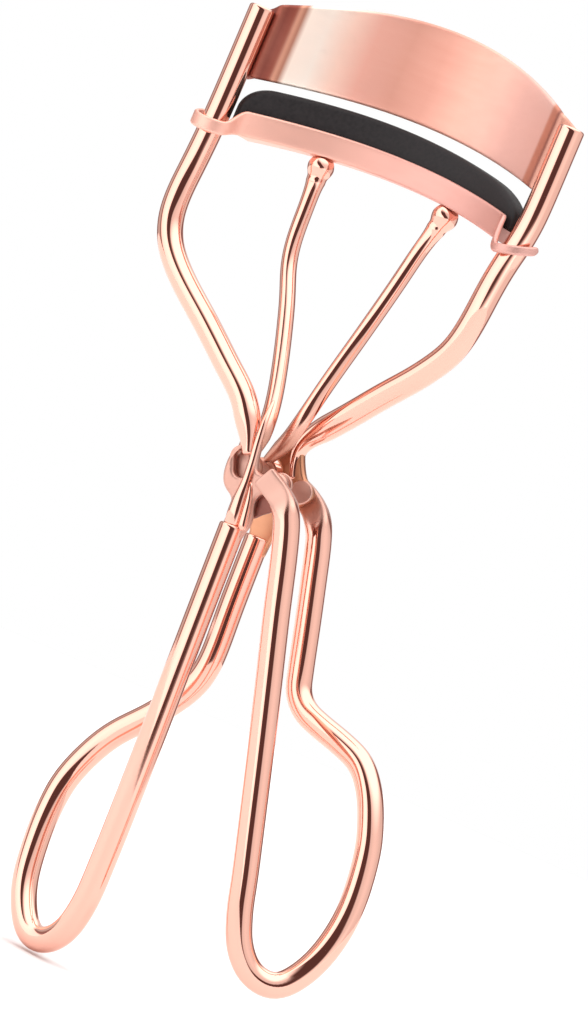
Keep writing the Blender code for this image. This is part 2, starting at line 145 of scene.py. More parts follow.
PAD_ENDS = (-16.7, 16.3)
PAD_TALL = 2.24
PAD_FALL = 0.022
PAD_GAP = 0.08
# Length of the taper at each end of the pad, and the power of its curve
PAD_LEFT = (2.6, 2.4)
PAD_RIGHT = (4.6, 2.0)

# Camera, by its angles in degrees. Its target and its distance are in millimetres.
VIEW_AZIMUTH = 21.661
VIEW_ELEVATION = 1.080
VIEW_ROLL = -23.114
VIEW_DISTANCE = 479.138
VIEW_TARGET = (-5.618, 0.0, -0.630)
LENS = 166.5
SHIFT = (0.0517, -0.0331)
SENSOR_WIDTH = 36.0
FLOOR_R = 0.42

# Colours, linear
ROSE = (0.90, 0.50, 0.40)
ROSE_DEEP = (0.86, 0.44, 0.34)
# Pressed flat metal: a darker copy of the plating, which is painted shade on its flat faces. Its roughness
# below is the real rougher finish.
PRESSED_SHADE = (0.65, 0.375, 0.305)
PRESSED_ROUGH = 0.42
# Painted shade on the push rods where they crowd round the pivot
KNOT_SHADE = (0.52, 0.24, 0.17)
# Painted shade on the rear blade: a darker, more orange copy of the plating
REAR_BLADE_SHADE = (0.62, 0.29, 0.17)
# Painted shade: the dark colour of the web in the recess behind the front blade
WEB_SHADE = (0.26, 0.10, 0.08)
SILICONE = (0.010, 0.008, 0.009)
SILICONE_PALE = (0.022, 0.018, 0.019)

# Tones along the plate and the bar, from 0 at the left guide to 1 at the right one. They are painted, and
# stand in for what the bright sheet would reflect.
PLATE_TONES = [
    (0.03, (0.30, 0.08, 0.06)),
    (0.055, (0.34, 0.10, 0.07)),
    (0.065, (0.20, 0.04, 0.03)),
    (0.085, (0.28, 0.06, 0.04)),
    (0.095, (0.70, 0.36, 0.25)),
    (0.105, (0.42, 0.17, 0.11)),
    (0.120, (1.0, 0.90, 0.80)),
    (0.17, (1.0, 0.95, 0.86)),
    (0.23, (1.0, 0.74, 0.63)),
    (0.30, (0.84, 0.45, 0.37)),
    (0.40, (0.65, 0.325, 0.255)),
    (0.50, (0.68, 0.345, 0.275)),
    (0.61, (0.84, 0.47, 0.38)),
    (0.71, (0.82, 0.49, 0.41)),
    (0.80, (0.72, 0.44, 0.385)),
    (0.905, (0.72, 0.47, 0.42)),
    (0.915, (0.50, 0.20, 0.13)),
    (0.932, (0.48, 0.18, 0.12)),
    (0.941, (0.16, 0.04, 0.03)),
    (0.955, (0.80, 0.44, 0.34)),
]
BAR_TONES = [
    (0.10, (0.95, 0.54, 0.44)),
    (0.33, (0.92, 0.52, 0.43)),
    (0.50, (0.75, 0.40, 0.345)),
    (0.90, (0.70, 0.39, 0.345)),
]

# Noise sizes: slow drift of tone, fine grain of the metal, and grain of the silicone
DRIFT = 70
GRAIN = 1500
SILICONE_GRAIN = 2600
ROUGH_SPREAD = 0.06
DRAWN = (1, 1, 0.15)
ROLLED = (0.12, 1, 1)

# Brightness of the light tent, overhead and by degrees round the object. 0 is at the camera, and positive is
# to its right. There is one list for light from level or above and one for light from below.
TENT_STRENGTH = 2.0
OVERHEAD_LIGHT = (1.1, 1.1, 1.1)
UPPER_LIGHT = [
    (-180, 0.5),
    (-158, 0.45),
    (-152, 0.10),
    (-130, 0.10),
    (-124, 0.36),
    (-98, 0.34),
    (-90, 0.14),
    (-80, 0.16),
    (-74, 0.85),
    (-30, 1.0),
    (-15, 0.9),
    (-10, 0.04),
    (22, 0.04),
    (29, 0.48),
    (60, 0.56),
    (124, 0.42),
    (130, 0.10),
    (152, 0.10),
    (158, 0.45),
]
LOWER_LIGHT = [
    (-180, 0.5),
    (-158, 0.45),
    (-152, 0.12),
    (-130, 0.12),
    (-122, 0.45),
    (-60, 0.5),
    (-40, 0.7),
    (-12, 1.1),
    (20, 1.1),
    (50, 0.7),
    (70, 0.5),
    (122, 0.48),
    (130, 0.12),
    (152, 0.12),
    (158, 0.48),
]


def place(x, y, z):
    """A point of the row frame, in metres."""
    return Vector((x, y + MID_Y, z)) * MM


# ---------------------------------------------------------------- paths


def spline(knots, steps=12):
    """A centripetal Catmull-Rom line through the knots."""
    pts = np.array(knots, float)
    pts = np.vstack([2 * pts[0] - pts[1], pts, 2 * pts[-1] - pts[-2]])
    out = []
    for a, b, c, d in zip(pts, pts[1:], pts[2:], pts[3:]):
        t0 = 0.0
        t1 = t0 + np.linalg.norm(b - a) ** 0.5
        t2 = t1 + np.linalg.norm(c - b) ** 0.5
        t3 = t2 + np.linalg.norm(d - c) ** 0.5
        for t in np.linspace(t1, t2, steps, endpoint=False):
            ab = ((t1 - t) * a + (t - t0) * b) / (t1 - t0)
            bc = ((t2 - t) * b + (t - t1) * c) / (t2 - t1)
            cd = ((t3 - t) * c + (t - t2) * d) / (t3 - t2)
            left = ((t2 - t) * ab + (t - t0) * bc) / (t2 - t0)
            right = ((t3 - t) * bc + (t - t1) * cd) / (t3 - t1)
            out.append(((t2 - t) * left + (t - t1) * right) / (t2 - t1))
    out.append(pts[-2])
    return np.array(out)


def lengths(points):
    """How far along the line each point is."""
    return np.concatenate([[0.0], np.cumsum(np.linalg.norm(np.diff(points, axis=0), axis=1))])


def resample(points, spacing):
    """Points at an even spacing along the line."""
    run = lengths(points)
    at = np.linspace(0.0, run[-1], max(2, int(round(run[-1] / spacing)) + 1))
    return np.stack([np.interp(at, run, column) for column in points.T], axis=1)


def bell(reach, spacing, blur):
    """Weights of a bell curve at evenly spaced points, which add up to 1."""
    weights = np.exp(-0.5 * (np.arange(-reach, reach + 1) * spacing / blur) ** 2)
    return weights / weights.sum()


def blurred(points, weights):
    return np.stack([np.convolve(column, weights, mode="valid") for column in points.T], axis=1)


def smoothstep(t):
    t = np.clip(t, 0.0, 1.0)
    return t * t * (3.0 - 2.0 * t)


def smooth(points, spacing, blur):
    """The line evenly spaced, and blurred over a length, with its ends kept."""
    points = resample(points, spacing)
    reach = min(math.ceil(3.0 * blur / spacing), len(points) - 1)
    head = 2 * points[0] - points[reach:0:-1]
    tail = 2 * points[-1] - points[-2 : -2 - reach : -1]
    return blurred(np.vstack([head, points, tail]), bell(reach, spacing, blur))


def path(knots, blur):
    return smooth(spline(knots), SPACING, blur)


# ---------------------------------------------------------------- meshes


def add_object(name, mesh):
    obj = bpy.data.objects.new(name, mesh)
    bpy.context.scene.collection.objects.link(obj)
    return obj


def rings_mesh(rings, hollow=False):
    """A skin over rings with the same count. Its ends are filled, or joined to each other if hollow."""
    bm = bmesh.new()
    loops = [[bm.verts.new(place(*p)) for p in ring] for ring in rings]
    count = len(loops[0])
    following = loops[1:] + loops[:1] if hollow else loops[1:]
    for one, two in zip(loops, following):
        for i in range(count):
            j = (i + 1) % count
            bm.faces.new((one[i], one[j], two[j], two[i]))
    if not hollow:
        bm.faces.new(loops[0][::-1])
        bm.faces.new(loops[-1])
    bmesh.ops.recalc_face_normals(bm, faces=bm.faces)
    mesh = bpy.data.meshes.new("rings")
    bm.to_mesh(mesh)
    bm.free()
    return mesh


def loft(points, wide, thick, sides, square=None):
    """A skin along the points. Each section is wide across the path and thick along Y."""
    points = np.asarray(points, float)
    tangents = np.gradient(points, axis=0)
    tangents /= np.linalg.norm(tangents, axis=1)[:, None]
    square = np.full(len(points), 2.0) if square is None else square
    angles = np.linspace(0.0, 2 * math.pi, sides, endpoint=False)
    rings = []
    for point, tangent, w, t, power in zip(points, tangents, wide, thick, square):
        deep = np.array([0.0, 1.0, 0.0]) - tangent * tangent[1]
        deep /= np.linalg.norm(deep)
        across = np.cross(tangent, deep)
        ring = []
        for a in angles:
            u = math.copysign(abs(math.cos(a)) ** (2.0 / power), math.cos(a))
            v = math.copysign(abs(math.sin(a)) ** (2.0 / power), math.sin(a))
            ring.append(point + w * u * across + t * v * deep)
        rings.append(ring)
    return rings_mesh(rings)


def domed(points, radius, length, floor):
    """Radii along a wire whose ends are rounded off over a length, down to a share of the radius."""
    run = lengths(points)
    t = np.clip(np.minimum(run, run[-1] - run) / length, 0.0, 1.0)
    return radius * (floor + (1.0 - floor) * np.sqrt(1.0 - (1.0 - t) ** 2))


def pack_ends(points, length):
    """The points with extra ones packed into a stretch at each end, so that a rounded end stays round."""
    run = lengths(points)
    packed = length * (1.0 - np.cos(np.linspace(0.0, math.pi / 2, 7)))
    at = np.unique(np.concatenate([packed, run[(run > length) & (run < run[-1] - length)], run[-1] - packed]))
    return np.stack([np.interp(at, run, column) for column in points.T], axis=1)


def plate_shape(outline, y, rim, thickness=BLADE_T, holes=()):
    """A flat piece in the XZ plane with a rounded rim. Its outline is smoothed."""
    data = bpy.data.curves.new("outline", "CURVE")
    data.dimensions = "2D"
    data.fill_mode = "BOTH"
    data.extrude = (0.5 * thickness - rim) * MM
    data.bevel_depth = rim * MM
    data.bevel_resolution = 5
    data.offset = -rim * MM
    for loop in (round_loop(outline), *holes):
        line = data.splines.new("POLY")
        line.points.add(len(loop) - 1)
        for spot, (u, v) in zip(line.points, loop):
            spot.co = (u * MM, v * MM, 0.0, 1.0)
        line.use_cyclic_u = True
    obj = add_object("outline", data)
    obj.matrix_world = Matrix.Translation(place(0, y, 0)) @ Matrix.Rotation(math.pi / 2, 4, "X")
    bpy.context.view_layer.update()
    graph = bpy.context.evaluated_depsgraph_get()
    mesh = bpy.data.meshes.new_from_object(obj.evaluated_get(graph))
    mesh.transform(obj.matrix_world)
    bpy.data.objects.remove(obj, do_unlink=True)
    bm = bmesh.new()
    bm.from_mesh(mesh)
    bmesh.ops.remove_doubles(bm, verts=bm.verts, dist=2e-6)
    bmesh.ops.recalc_face_normals(bm, faces=bm.faces)
    bm.to_mesh(mesh)
    bm.free()
    return mesh


def round_loop(outline):
    """A closed outline, evenly spaced and blurred."""
    points = resample(np.array(outline + outline[:1], float), OUTLINE_STEP)[:-1]
    reach = math.ceil(3 * OUTLINE_BLUR / OUTLINE_STEP)
    wrapped = np.vstack([points[-reach:], points, points[:reach]])
    return [tuple(p) for p in blurred(wrapped, bell(reach, OUTLINE_STEP, OUTLINE_BLUR))[::2]]


def turned(x, z, profile, hollow=False):
    """A solid of revolution along Y through (x, z), by radius and Y. A hollow one has a bore."""
    angles = np.linspace(0.0, 2 * math.pi, TURNED_SIDES, endpoint=False)
    rings = []
    for radius, y in profile:
        rings.append([(x + radius * math.cos(a), y, z + radius * math.sin(a)) for a in angles])
    return rings_mesh(rings, hollow)


def join(name, meshes):
    """One object of several meshes."""
    bm = bmesh.new()
    for mesh in meshes:
        bm.from_mesh(mesh)
    out = bpy.data.meshes.new(name)
    bm.to_mesh(out)
    bm.free()
    return add_object(name, out)


def shade(obj):
    """Smooth shading, with sharp edges kept sharp."""
    bm = bmesh.new()
    bm.from_mesh(obj.data)
    for edge in bm.edges:
        edge.smooth = len(edge.link_faces) == 2 and edge.calc_face_angle(0.0) < SHARP_ANGLE
    for face in bm.faces:
        face.smooth = True
    bm.to_mesh(obj.data)
    bm.free()


def bowed(x, end, bow):
    """A height that rises by the bow from the guides to the middle of the head."""
    return end + bow * (1.0 - min(1.0, (x / GUIDE_HALF) ** 2))


def arc_point(x, radius):
    """A plan point of the arc that the plate, the bar and the pad follow."""
    return np.array([x, ARC_CENTRE_Y + math.sqrt(radius**2 - x**2)])


# ---------------------------------------------------------------- frame wire


def left_side():
    """Knots from the left guide's top to the front of the pivot."""
    x = HEAD_X - GUIDE_HALF
    knots = [(x, 0, GUIDE_TOP), (x, 0, 34.0), (x - 0.1, 0, 30.0), (-24.1, 0, 26.5), (-24.2, -0.2, 23.5)]
    knots += [(-23.9, -0.4, 20.9), (-22.75, -0.8, 18.5), (-21.1, -1.2, 16.7), (-19.0, -1.6, 15.0)]
    knots += [(-14.6, -2.4, 12.0), (-10.6, -3.1, 9.1), (-7.3, -3.7, 6.7), (-5.85, -3.9, 4.9)]
    return [*knots, (-4.85, -4.1, 3.2), (-4.05, -4.2, 1.5)]


def right_side():
    """Knots from the right guide's top to the rear of the pivot."""
    x = HEAD_X + GUIDE_HALF
    knots = [(x, 0, GUIDE_TOP), (x, 0, 35.0), (x - 0.1, 0, 33.5), (12.2, 0, 31.5), (11.85, 0, 30.0)]
    knots += [(11.6, 0, 28.7), (11.4, 0, 27.3), (11.25, 0, 26.0), (11.05, 0.1, 24.0), (10.8, 0.3, 22.3)]
    knots += [(10.4, 0.5, 20.4), (9.7, 0.8, 18.7), (7.5, 1.5, 15.7), (4.2, 2.5, 12.2), (1.2, 3.4, 8.85)]
    knots += [(-0.6, 3.8, 6.9), (-1.9, FRAME_Y, 5.4), (-2.45, FRAME_Y, 4.0), (-2.2, FRAME_Y, 2.4)]
    return [*knots, (-1.6, FRAME_Y, 0.9)]


def fixed_loop():
    """Knots of the fixed leg, its finger loop and the rear leg."""
    knots = [(-2.75, -FRAME_Y, -5.6), (-2.5, -FRAME_Y, -12), (-2.1, -FRAME_Y, -21.7), (-1.75, -FRAME_Y, -30)]
    knots += [(-1.4, -FRAME_Y, -42), (-1.5, -3.8, -46.9), (-2.5, -3.4, -50.4), (-4.6, -2.6, -52.25)]
    knots += [(-6.3, -2.1, -52.2), (-7.6, -1.6, -51.2), (-9.7, -0.5, -48), (-10.85, 0.6, -43.2)]
    knots += [(-11.15, 1.2, -40), (-10.95, 1.9, -36.4), (-8.8, 2.8, -31), (-5.7, 3.4, -27.2)]
    knots += [(-3.7, 3.8, -24.3), (-2.6, 3.85, -22.2), (-2.2, FRAME_Y, -20.0), (-2.5, FRAME_Y, -13)]
    return [*knots, (-2.75, FRAME_Y, -5.9)]


def pressed_end(gone, end):
    """How an end of a wire is pressed: its width, its depth and its squareness by the length gone from it."""
    t = smoothstep((gone - end.start) / end.reach)
    ends = zip((end.width, end.depth, end.square), (1.0, 1.0, 2.0))
    return [start + (stop - start) * t for start, stop in ends]


def wire(knots, blur, first=None, last=None):
    """A round wire with slightly rounded ends, or with pressed ones."""
    points = pack_ends(path(knots, blur), 0.5)
    run = lengths(points)
    wide = domed(points, WIRE_R, 0.28, 0.8)
    thick = wide.copy()
    square = np.full(len(points), 2.0)
    for gone, end in ((run, first), (run[-1] - run, last)):
        if end:
            width, depth, power = pressed_end(gone, end)
            wide *= width
            thick *= depth
            square = np.maximum(square, power)
    return loft(points, wide, thick, 44, square)


def ear(radius, start, stop, count):
    """Outline points of an arc round the pivot, between two angles in degrees."""
    return [(radius * math.cos(a), radius * math.sin(a)) for a in np.radians(np.linspace(start, stop, count))]


def front_blade():
    """The pressed end of the left side wire, with its window, its ear on the pivot and its neck."""
    left = [(-6.15, 4.6), (-6.0, 4.0), (-5.6, 2.9), (-5.4, 1.9), (-5.8, 1.35), (-6.0, 0.3)]
    left += [(-5.85, -1.1), (-5.5, -2.0), (-4.95, -2.55), (-4.0, -3.0), (-3.75, -3.7)]
    left += [(-3.7, -4.7), (-3.75, -5.6), (-3.7, -8.0)]
    right = [(-1.6, -8.0), (-1.2, -5.9), (-0.95, -5.0), (-1.1, -4.0), (-1.35, -2.9), (-1.45, -2.1)]
    top = [(-1.5, 0.3), (-2.5, 0.2), (-3.0, 1.6), (-3.1, 2.4), (-3.5, 3.6), (-4.9, 5.0)]
    outline = left + right + ear(1.15, -110, 130, 16) + top
    return plate_shape(outline, -FRAME_Y, BLADE_RIM, holes=[window()])


def painted_shade_web():
    """The folded web behind the front blade, between its neck and the pivot; a dark sheet of painted shade.
    """
    outline = [(-2.5, -3.4), (-2.4, -0.8), (-1.6, 0.0), (0.3, 0.2), (1.0, -0.5), (0.9, -2.1), (0.4, -2.9)]
    outline += [(-0.5, -3.5), (-1.2, -4.3), (-2.2, -4.5)]
    return plate_shape(outline, -FRAME_Y + 0.75, 0.15, thickness=0.5)


def window():
    """The oval hole in front of the link pin's head: two half circles whose centres lie on a leaning line."""
    middle, radius, half_run, lean = (-4.4, 0.45), 0.75, 0.65, math.radians(22.6)
    loop = []
    for end, first in ((1, lean), (-1, lean + math.pi)):
        x = middle[0] - end * half_run * math.sin(lean)
        z = middle[1] + end * half_run * math.cos(lean)
        for a in np.linspace(first, first + math.pi, 14):
            loop.append((x + radius * math.cos(a), z + radius * math.sin(a)))
    return loop


def rear_blade():
    """The pressed metal at the rear: the end of the right side wire, the ear on the pivot and the neck."""
    left = [(-3.9, 5.4), (-4.6, 4.5), (-4.9, 3.3), (-4.6, 2.2), (-3.7, 1.9), (-3.05, 1.3), (-2.7, 0.2)]
    left += [(-2.7, -1.0), (-3.1, -2.0), (-3.9, -2.75), (-4.6, -3.4), (-4.5, -4.3), (-4.0, -5.1)]
    left += [(-3.7, -5.9), (-3.6, -8.0)]
    right = [(-1.3, -8.0), (-1.2, -5.9), (-0.9, -5.4), (-0.6, -4.0), (-0.3, -2.4)]
    top = [(-0.8, 2.1), (-1.5, 3.4), (-2.0, 5.0)]
    return plate_shape(left + right + ear(1.2, -75, 95, 12) + top, FRAME_Y, BLADE_RIM)


def flute(knots, radii):
    """A pressed ridge along the front blade. The radii go with the knots."""
    points = pack_ends(path(knots, 0.4), 0.6)
    run = lengths(points)
    at = lengths(np.array(knots, float))
    wide = np.interp(run / run[-1], at / at[-1], radii) * domed(points, 1.0, 0.5, 0.25)
    return loft(points, wide, wide * FLUTE_DEPTH, 28)


def ridges():
    """The folded edge down the front blade, which runs out into the two flutes under it."""
    front = -FRAME_Y - 0.5 * BLADE_T
    edge = [(-4.25, front + 1.3, 7.6), (-3.8, front + 0.2, 5.0), (-3.5, front - 0.1, 2.8)]
    edge += [(-3.2, front - 0.15, 0.7), (-3.0, front - 0.15, -1.3), (-2.95, front - 0.1, -3.0)]
    edge += [(-2.85, front - 0.05, -4.4), (-2.7, front + 0.05, -5.9)]
    inner = [(-2.6, front + 0.1, -0.9), (-2.05, front, -2.4)]
    inner += [(-1.85, front, -3.6), (-1.5, front + 0.05, -5.8)]
    return [flute(edge, [0.16, 0.36, 0.4, 0.42, 0.5, 0.72, 0.8, 0.75]), flute(inner, [0.2, 0.36, 0.42, 0.5])]


def frame_wire():
    left = wire(left_side(), 0.9, last=LEFT_END)
    right = wire(right_side(), 0.9, last=RIGHT_END)
    return join("frame_wire_fine", [left, right, wire(fixed_loop(), 1.0), *ridges()])


# ---------------------------------------------------------------- handle


def handle_loop():
    """Knots of the handle: the front arm, its leg, the finger loop, the rear leg and the rear arm."""
    knots = [(-1.12, -HANDLE_Y, 0.22), (0.05, -HANDLE_Y, -0.42), (1.35, -HANDLE_Y, -1.05)]
    knots += [(2.5, -HANDLE_Y, -2.1), (3.25, -HANDLE_Y, -3.6), (4.2, -HANDLE_Y, -6.3)]
    knots += [(6.0, -HANDLE_Y, -12.2), (7.95, -HANDLE_Y, -18.3), (9.85, -HANDLE_Y, -24.3)]
    knots += [(12.1, -HANDLE_Y, -31.6), (13.75, -HANDLE_Y, -37)]
    knots += [(14.85, -5.3, -40.9), (16.1, -4.8, -43.9), (17.95, -3.8, -45.85)]
    knots += [(20.25, -2.6, -46.1), (22.25, -1.0, -43.3), (23.3, 0.5, -37.8), (22.3, 1.8, -30.8)]
    knots += [(21.0, 2.4, -27.5), (19.35, 3.0, -24.8), (17.2, 3.6, -22.75), (14.15, 4.1, -21.7)]
    knots += [(11.55, 4.5, -21.1), (9.05, 4.9, -20.3), (7.5, 5.2, -18.85), (6.8, HANDLE_Y, -17.0)]
    knots += [(5.3, HANDLE_Y, -11.7), (4.1, HANDLE_Y, -7.6), (3.2, HANDLE_Y, -4.6), (2.55, HANDLE_Y, -2.9)]
    knots += [(1.55, HANDLE_Y, -1.45), (0.1, HANDLE_Y, -0.45), (-1.5, HANDLE_Y, 0.2), (-3.3, HANDLE_Y, 0.5)]
    return [*knots, (-5.6, HANDLE_Y, 0.5)]


def handle_wire():
    return join("handle_wire_fine", [wire(handle_loop(), 0.6, FRONT_ARM, REAR_ARM)])


# ---------------------------------------------------------------- push rods and pins


def rod_radii(points):
    """A ball on the first end, a smooth neck under it, and a thin last end."""
    run = lengths(points)
    sphere = np.sqrt(np.clip(BALL_R**2 - (run - BALL_R) ** 2, 0.0, None))
    neck = ROD_R * (1.0 + 0.22 * np.exp(-np.clip(run - 2.2 * BALL_R, 0.0, None) / 0.8))
    neck *= np.clip(run / BALL_R, 0.0, 1.0)
    radii = (sphere**6 + neck**6) ** (1.0 / 6.0)
    thin = np.clip((run[-1] - run) / 2.2, 0.0, 1.0)
    return np.maximum(0.06, radii * (0.6 + 0.4 * thin))


def push_rod(side):
    """A rod from its ball under the bar to its eye on the link pin, on the left (-1) or the right (1)."""
    x = HEAD_X + side * BALL_OUT
    if side < 0:
        knots = [(x, BALL_Y, BALL_Z), (x + 0.3, 5.1, 27.5), (x + 0.65, 4.8, 23.6), (x + 1.3, 4.4, 21.2)]
        knots += [(-9.6, 3.1, 17.2), (-6.9, 1.2, 11.2), (-5.3, -0.3, 7.1), (-4.5, -1.6, 4.2)]
    else:
        knots = [(x, BALL_Y, BALL_Z), (x - 1.0, 5.0, 27.4), (x - 1.7, 4.6, 23.2), (-0.9, 3.9, 17.5)]
        knots += [(-1.7, 2.4, 11.6), (-2.25, 1.2, 6.8), (-2.95, 1.35, 4.2)]
    knots += [(LINK[0], side * EYE_Y, LINK[1] + 1.2)]
    points = path(knots, 0.7)
    run = lengths(points)
    dense = np.unique(np.concatenate([np.linspace(0.0, ROD_END, 22), run[run > ROD_END]]))
    points = np.stack([np.interp(dense, run, column) for column in points.T], axis=1)
    ball = BALL_R * (1.0 - np.cos(np.linspace(0.0, math.pi / 2, 12)))[:-1]
    away = points[0] - points[2]
    away /= np.linalg.norm(away)
    crown = [points[0] + away * (BALL_R - gone) for gone in ball]
    points = np.vstack([crown, points])
    eye = turned(*LINK, eye_profile(side), hollow=True)
    name = "push_rod_left_fine" if side < 0 else "push_rod_right_fine"
    radii = rod_radii(points)
    return join(name, [loft(points, radii, radii, 32), eye])


def eye_profile(side):
    """Section of a flattened eye, as a ring about the link pin."""
    rim = 0.15
    front = side * EYE_Y - 0.5 * EYE_T
    back = side * EYE_Y + 0.5 * EYE_T
    cut = 0.3 * rim
    out = [(PIN_BORE, front), (EYE_R - rim, front), (EYE_R - cut, front + cut), (EYE_R, front + rim)]
    return [*out, (EYE_R, back - rim), (EYE_R - cut, back - cut), (EYE_R - rim, back), (PIN_BORE, back)]


def rounded_disc(radius, front, back, rim):
    """Profile of a disc with rounded edges, from its front to its back."""
    floor = 0.02
    turn = np.linspace(0.0, math.pi / 2, 6)
    first = [(radius - rim + rim * math.sin(a), front + rim * (1.0 - math.cos(a))) for a in turn]
    last = [(radius - rim + rim * math.cos(a), back - rim * (1.0 - math.sin(a))) for a in turn]
    return [(floor, front), *first, *last, (floor, back)]


def pivot_rivet(side):
    """The rivet at the front (-1) or the rear (1), with a flange on the inner side of the frame's blade."""
    outer = side * (HANDLE_Y + 0.5 * BLADE_T - RIVET_SUNK)
    inner = side * (FRAME_Y - 0.5 * BLADE_T - 0.4)
    front, back = min(outer, inner), max(outer, inner)
    shank = turned(0.0, 0.0, rounded_disc(RIVET_R, front, back, 0.06))
    head = side * (FRAME_Y - 0.5 * BLADE_T)
    ends = (head + 0.05, head + 0.45) if side < 0 else (head - 0.45, head - 0.05)
    flange = turned(0.0, 0.0, rounded_disc(FLANGE_R, *ends, 0.18))
    return join("pivot_rivet_front_fine" if side < 0 else "pivot_rivet_rear_fine", [shank, flange])


def link_pin():
    """The pin through both eyes, with a head behind the front blade and a button behind the rear arm."""
    face = -FRAME_Y + 0.5 * BLADE_T + GAP
    seat = -EYE_Y - 0.5 * EYE_T - 0.08
    back = HANDLE_Y + 0.5 * BLADE_T
    head = turned(*LINK, rounded_disc(PIN_HEAD_R, face, seat, 0.2))
    shank = turned(*LINK, rounded_disc(PIN_R, seat - 0.1, back + 0.1, 0.05))
    button = turned(*LINK, rounded_disc(BUTTON_R, back + 0.05, back + 0.48, 0.3))
    return join("link_pin_fine", [head, shank, button])


def link_spacer():
    """The sleeve on the link pin, between the eyes."""
    half = EYE_Y - 0.5 * EYE_T - GAP
    rim = 0.1
    front = [(PIN_BORE, -half), (SPACER_R - rim, -half), (SPACER_R, rim - half)]
    back = [(SPACER_R, half - rim), (SPACER_R - rim, half), (PIN_BORE, half)]
    return join("link_spacer_fine", [turned(*LINK, front + back, hollow=True)])


# ---------------------------------------------------------------- head


def sheet_mesh(plan, low, high, thickness):
    """A bent sheet along a plan line, with a low and a high edge at each point, and half-round edges."""
    tangents = np.gradient(plan, axis=0)
    tangents /= np.linalg.norm(tangents, axis=1)[:, None]
    normals = np.stack([-tangents[:, 1], tangents[:, 0]], axis=1)
    half = 0.5 * thickness
    turn = np.linspace(0.0, math.pi, 9)
    rings = []
    for (x, y), (nx, ny), z0, z1 in zip(plan, normals, low, high):
        heights = np.linspace(z1 - half, z0 + half, 9)[1:-1]
        ring = [(half * math.cos(a), z1 - half + half * math.sin(a)) for a in turn]
        ring += [(-half, z) for z in heights]
        ring += [(-half * math.cos(a), z0 + half - half * math.sin(a)) for a in turn]
        ring += [(half, z) for z in heights[::-1]]
        rings.append([(HEAD_X + x + nx * u, y + ny * u, z) for u, z in ring])
    return rings_mesh(rings)


def curl(side, radius, centre, start, end):
    """Plan points round a guide, by angle from the outer side towards the rear."""
    angles = np.radians(np.linspace(start, end, 30))
    return [np.array([centre + side * radius * math.cos(a), radius * math.sin(a)]) for a in angles]


def plan_smooth(points, spacing):
    return smooth(np.array(points, float), spacing, 0.3)


def upper_plate():
    """The bent sheet plate, whose ends curl round the backs of the guides."""
    left = curl(-1, CURL_R, -GUIDE_HALF, 76.0, 158.0)
    arc = [arc_point(x, PLATE_R) for x in np.linspace(-15.9, 15.9, 60)]
    right = curl(1, CURL_R, GUIDE_HALF, 158.0, 76.0)
    plan = plan_smooth(left + arc + right, 0.25)
    low = [bowed(x, PLATE_BOTTOM, PLATE_BOW) for x, _ in plan]
    high = [bowed(x, PLATE_TOP, PLATE_TOP_BOW) for x, _ in plan]
    return join("upper_plate_fine", [sheet_mesh(plan, low, high, PLATE_T)])


def strip_plan():
    """The front wall's line from the left hook's end to the right hook's."""
    left = curl(-1, HOOK_R, HOOK_CENTRE[-1], HOOK_END[-1], -165.0)
    arc = [arc_point(x, BAR_IN + 0.5 * STRIP_T) for x in np.linspace(-HOOK_FROM, HOOK_FROM, 60)]
    right = curl(1, HOOK_R, HOOK_CENTRE[1], -165.0, HOOK_END[1])
    return plan_smooth(left + arc + right, 0.15)


def front_strip():
    """The bar's front wall, which narrows at each end into a hook round a guide."""
    plan = strip_plan()
    run = lengths(plan)
    inside = run[np.abs(plan[:, 0]) < HOOK_FROM]
    low, high = [], []
    for (x, y), gone in zip(plan, run):
        side = -1 if x < 0 else 1
        ease = smoothstep(max(inside[0] - gone, gone - inside[-1]) / HOOK_EASE)
        ring = HOOK_Z[side] + y * math.tan(math.radians(HOOK_TILT))
        ring += HOOK_LIFT[side] * (x - HOOK_CENTRE[side])
        end = min(gone, run[-1] - gone) / 0.5
        tall = 0.5 * HOOK_TALL[side] * (0.45 + 0.55 * math.sqrt(1.0 - (1.0 - min(1.0, end)) ** 2))
        low.append((1.0 - ease) * bowed(x, BAR_BOTTOM, BOTTOM_BOW) + ease * (ring - tall))
        high.append((1.0 - ease) * bowed(x, FRONT_TOP, FRONT_BOW) + ease * (ring + tall))
    return sheet_mesh(plan, low, high, STRIP_T)


def channel():
    """The bar's floor and rear wall behind the front strip."""
    rings = []
    for x in np.linspace(-CHANNEL_HALF, CHANNEL_HALF, 70):
        section = channel_section(bowed(x, BAR_BOTTOM, BOTTOM_BOW), bowed(x, BAR_TOP, BAR_BOW))
        rings.append([(HEAD_X + x, arc_point(x, r)[1], z) for r, z in section])
    return rings_mesh(rings)


def channel_section(bottom, top):
    """Distance from the arc's centre and height, round the floor and the rear wall."""
    front = BAR_IN + 0.35
    floor = top - GROOVE_DEPTH
    corner = 0.5
    lip = 0.5 * BAR_WALL
    out = [(front, bottom + 0.02)]
    for a in np.radians(np.linspace(-90, 0, 7)):
        out.append((BAR_OUT - corner + corner * math.cos(a), bottom + 0.02 + corner + corner * math.sin(a)))
    for a in np.radians(np.linspace(0, 180, 7)):
        out.append((BAR_OUT - lip + lip * math.cos(a), top - lip + lip * math.sin(a)))
    return out + [(BAR_OUT - BAR_WALL, floor), (front, floor)]


def socket(side):
    """A hollow for a push rod's ball in the underside of the bar."""
    mesh = bpy.data.meshes.new("socket")
    bm = bmesh.new()
    bmesh.ops.create_uvsphere(bm, u_segments=32, v_segments=16, radius=SOCKET_R * MM)
    for vert in bm.verts:
        if abs(vert.co.x) > 0.01 * MM:
            vert.co.x += math.copysign(SOCKET_PLAY * MM, vert.co.x)
    bm.to_mesh(mesh)
    bm.free()
    mesh.transform(Matrix.Translation(place(HEAD_X + side * BALL_OUT, BALL_Y, BALL_Z)))
    return add_object("socket", mesh)


